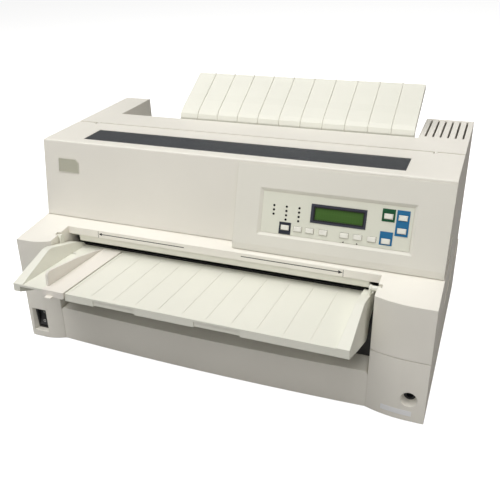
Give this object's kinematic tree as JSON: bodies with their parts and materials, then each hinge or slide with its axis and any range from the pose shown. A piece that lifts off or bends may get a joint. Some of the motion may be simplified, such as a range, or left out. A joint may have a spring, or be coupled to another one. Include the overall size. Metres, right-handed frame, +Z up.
{
  "type": "dot matrix printer",
  "caption": "Wide flatbed dot matrix printer with a hinged hood, an operator panel with keys, a tilting front table and a rear paper support.",
  "frame": {"origin": "on the table top under the middle of the machine's bounding box, at the undersides of the feet", "axes": "+X to the operator's right, +Y from the operator towards the rear, +Z up"},
  "size_m": [0.58, 0.4168, 0.329],
  "materials": {
    "housing": "fine satin moulding texture",
    "panel": "fine satin moulding texture",
    "table": "smooth satin",
    "window": "smoked, clear enough to see shapes through",
    "dark": "satin",
    "rubber": "dull",
    "steel": "ground",
    "plate": "zinc plated",
    "motor": "semi-gloss",
    "sheet": "printed film",
    "bezel": "satin",
    "lcd": "glossy",
    "lamp": "clear lens",
    "board": "lacquered",
    "key": "satin",
    "dark_field": "printed film",
    "green_field": "printed film",
    "blue_field": "printed film"
  },
  "bodies": {
    "case": {"base_pan": "housing", "front_cover": "housing", "guide_strip": "table", "cavity_panel": "dark", "rear_case": "housing", "feet": "rubber", "switch_housing": "dark", "jack_socket": "dark", "power_inlet": "dark", "interface_connector": "plate", "hinge_pins": "steel", "chassis_plate": "plate", "side_frames": "plate", "paper_guides": "plate", "feed_motor": "motor", "feed_belt": "rubber", "carriage_shaft": "steel", "carriage_rail": "plate", "carriage_motor": "motor", "carriage_belt": "rubber"},
    "hood": {"hood": "housing", "hood_window": "window", "panel_housing": "panel", "panel_sheet": "sheet", "lcd_bezel": "bezel", "lcd_glass": "lcd", "indicator_lamps": "lamp", "panel_board": "board", "dark_key_plate": "dark_field", "green_key_plate": "green_field", "blue_key_plates": "blue_field"},
    "rocker": {"power_rocker": "dark"},
    "latch_pad_left": {"latch_left": "panel"},
    "latch_pad_right": {"latch_right": "panel"},
    "support": {"paper_support": "table"},
    "table": {"front_table": "table"},
    "guide": {"edge_guide": "table"},
    "platen": {"platen_roller": "rubber", "platen_shaft": "steel"},
    "front_feed": {"front_feed_roller": "steel"},
    "rear_feed": {"rear_feed_roller": "steel"},
    "front_press": {"front_press_roller": "steel"},
    "rear_press": {"rear_press_roller": "steel"},
    "feed_drive": {"motor_pulley": "steel"},
    "carriage_group": {"carriage": "dark", "print_head": "motor", "ribbon_cartridge": "dark"},
    "belt_drive": {"drive_pulley": "steel"},
    "belt_idler": {"idler_pulley": "steel"},
    "key_1_cap": {"key_1": "key"},
    "key_2_cap": {"key_2": "key"},
    "key_3_cap": {"key_3": "key"},
    "key_4_cap": {"key_4": "key"},
    "key_5_cap": {"key_5": "key"},
    "key_6_cap": {"key_6": "key"},
    "key_7_cap": {"key_7": "key"},
    "key_8_cap": {"key_8": "key"},
    "green_key_cap": {"green_key": "key"},
    "blue_key_upper_cap": {"blue_key_upper": "key"},
    "blue_key_lower_cap": {"blue_key_lower": "key"}
  },
  "joints": [
    {"name": "hood_hinge", "type": "hinge", "parent": "case", "child": "hood", "pos_m": [0, 0.06342, 0.2738], "axis": [-1, 0, 0], "range_deg": [0, 65]},
    {"name": "table_hinge", "type": "hinge", "parent": "case", "child": "table", "pos_m": [0, -0.09158, 0.158], "axis": [-1, 0, 0], "range_deg": [0, 80]},
    {"name": "guide_slide", "type": "slide", "parent": "table", "child": "guide", "axis": [1, 0, 0], "range_m": [0, 0.12]},
    {"name": "support_hinge", "type": "hinge", "parent": "case", "child": "support", "pos_m": [0, 0.12842, 0.262], "axis": [-1, 0, 0], "range_deg": [0, 40]},
    {"name": "power_rock", "type": "hinge", "parent": "case", "child": "rocker", "pos_m": [-0.27135, -0.11535, 0.03105], "axis": [1, 0, 0], "range_deg": [0, 18]},
    {"name": "latch_left_press", "type": "slide", "parent": "hood", "child": "latch_pad_left", "axis": [1, 0, 0], "range_m": [0, 0.0025], "stiffness_N_per_m": 400},
    {"name": "latch_right_press", "type": "slide", "parent": "hood", "child": "latch_pad_right", "axis": [-1, 0, 0], "range_m": [0, 0.0025], "stiffness_N_per_m": 400},
    {"name": "key_1_press", "type": "slide", "parent": "hood", "child": "key_1_cap", "axis": [0, 0.9418, -0.3362], "range_m": [0, 0.0012], "stiffness_N_per_m": 400},
    {"name": "key_2_press", "type": "slide", "parent": "hood", "child": "key_2_cap", "axis": [0, 0.9418, -0.3362], "range_m": [0, 0.0012], "stiffness_N_per_m": 400},
    {"name": "key_3_press", "type": "slide", "parent": "hood", "child": "key_3_cap", "axis": [0, 0.9418, -0.3362], "range_m": [0, 0.0012], "stiffness_N_per_m": 400},
    {"name": "key_4_press", "type": "slide", "parent": "hood", "child": "key_4_cap", "axis": [0, 0.9418, -0.3362], "range_m": [0, 0.0012], "stiffness_N_per_m": 400},
    {"name": "key_5_press", "type": "slide", "parent": "hood", "child": "key_5_cap", "axis": [0, 0.9418, -0.3362], "range_m": [0, 0.0012], "stiffness_N_per_m": 400},
    {"name": "key_6_press", "type": "slide", "parent": "hood", "child": "key_6_cap", "axis": [0, 0.9418, -0.3362], "range_m": [0, 0.0012], "stiffness_N_per_m": 400},
    {"name": "key_7_press", "type": "slide", "parent": "hood", "child": "key_7_cap", "axis": [0, 0.9418, -0.3362], "range_m": [0, 0.0012], "stiffness_N_per_m": 400},
    {"name": "key_8_press", "type": "slide", "parent": "hood", "child": "key_8_cap", "axis": [0, 0.9418, -0.3362], "range_m": [0, 0.0012], "stiffness_N_per_m": 400},
    {"name": "green_key_press", "type": "slide", "parent": "hood", "child": "green_key_cap", "axis": [0, 0.9418, -0.3362], "range_m": [0, 0.0012], "stiffness_N_per_m": 400},
    {"name": "blue_key_upper_press", "type": "slide", "parent": "hood", "child": "blue_key_upper_cap", "axis": [0, 0.9418, -0.3362], "range_m": [0, 0.0012], "stiffness_N_per_m": 400},
    {"name": "blue_key_lower_press", "type": "slide", "parent": "hood", "child": "blue_key_lower_cap", "axis": [0, 0.9418, -0.3362], "range_m": [0, 0.0012], "stiffness_N_per_m": 400},
    {"name": "platen_spin", "type": "hinge", "parent": "case", "child": "platen", "pos_m": [0, 0.05042, 0.116], "axis": [1, 0, 0], "continuous": true},
    {"name": "front_feed_spin", "type": "hinge", "parent": "case", "child": "front_feed", "pos_m": [0, -0.00458, 0.124], "axis": [1, 0, 0], "continuous": true},
    {"name": "rear_feed_spin", "type": "hinge", "parent": "case", "child": "rear_feed", "pos_m": [0, 0.09342, 0.124], "axis": [1, 0, 0], "continuous": true},
    {"name": "front_press_spin", "type": "hinge", "parent": "case", "child": "front_press", "pos_m": [0, -0.00458, 0.1426], "axis": [1, 0, 0], "continuous": true},
    {"name": "rear_press_spin", "type": "hinge", "parent": "case", "child": "rear_press", "pos_m": [0, 0.09342, 0.1426], "axis": [1, 0, 0], "continuous": true},
    {"name": "feed_motor_spin", "type": "hinge", "parent": "case", "child": "feed_drive", "pos_m": [0, 0.04442, 0.084], "axis": [1, 0, 0], "continuous": true},
    {"name": "carriage_slide", "type": "slide", "parent": "case", "child": "carriage_group", "axis": [1, 0, 0], "range_m": [0, 0.3]},
    {"name": "belt_drive_spin", "type": "hinge", "parent": "case", "child": "belt_drive", "pos_m": [0.236, 0.09342, 0.186], "axis": [0, 0, 1], "continuous": true},
    {"name": "belt_idler_spin", "type": "hinge", "parent": "case", "child": "belt_idler", "pos_m": [-0.236, 0.09342, 0.186], "axis": [0, 0, 1], "continuous": true}
  ],
  "couplings": [
    {"joint": "front_feed_spin", "follows": "platen_spin", "ratio": 1.8},
    {"joint": "rear_feed_spin", "follows": "platen_spin", "ratio": 1.8},
    {"joint": "front_press_spin", "follows": "platen_spin", "ratio": -2.25},
    {"joint": "rear_press_spin", "follows": "platen_spin", "ratio": -2.25},
    {"joint": "feed_motor_spin", "follows": "platen_spin", "ratio": 2.5714},
    {"joint": "belt_drive_spin", "follows": "carriage_slide", "rad_per_m": 127.39},
    {"joint": "belt_idler_spin", "follows": "carriage_slide", "rad_per_m": 127.39}
  ]
}
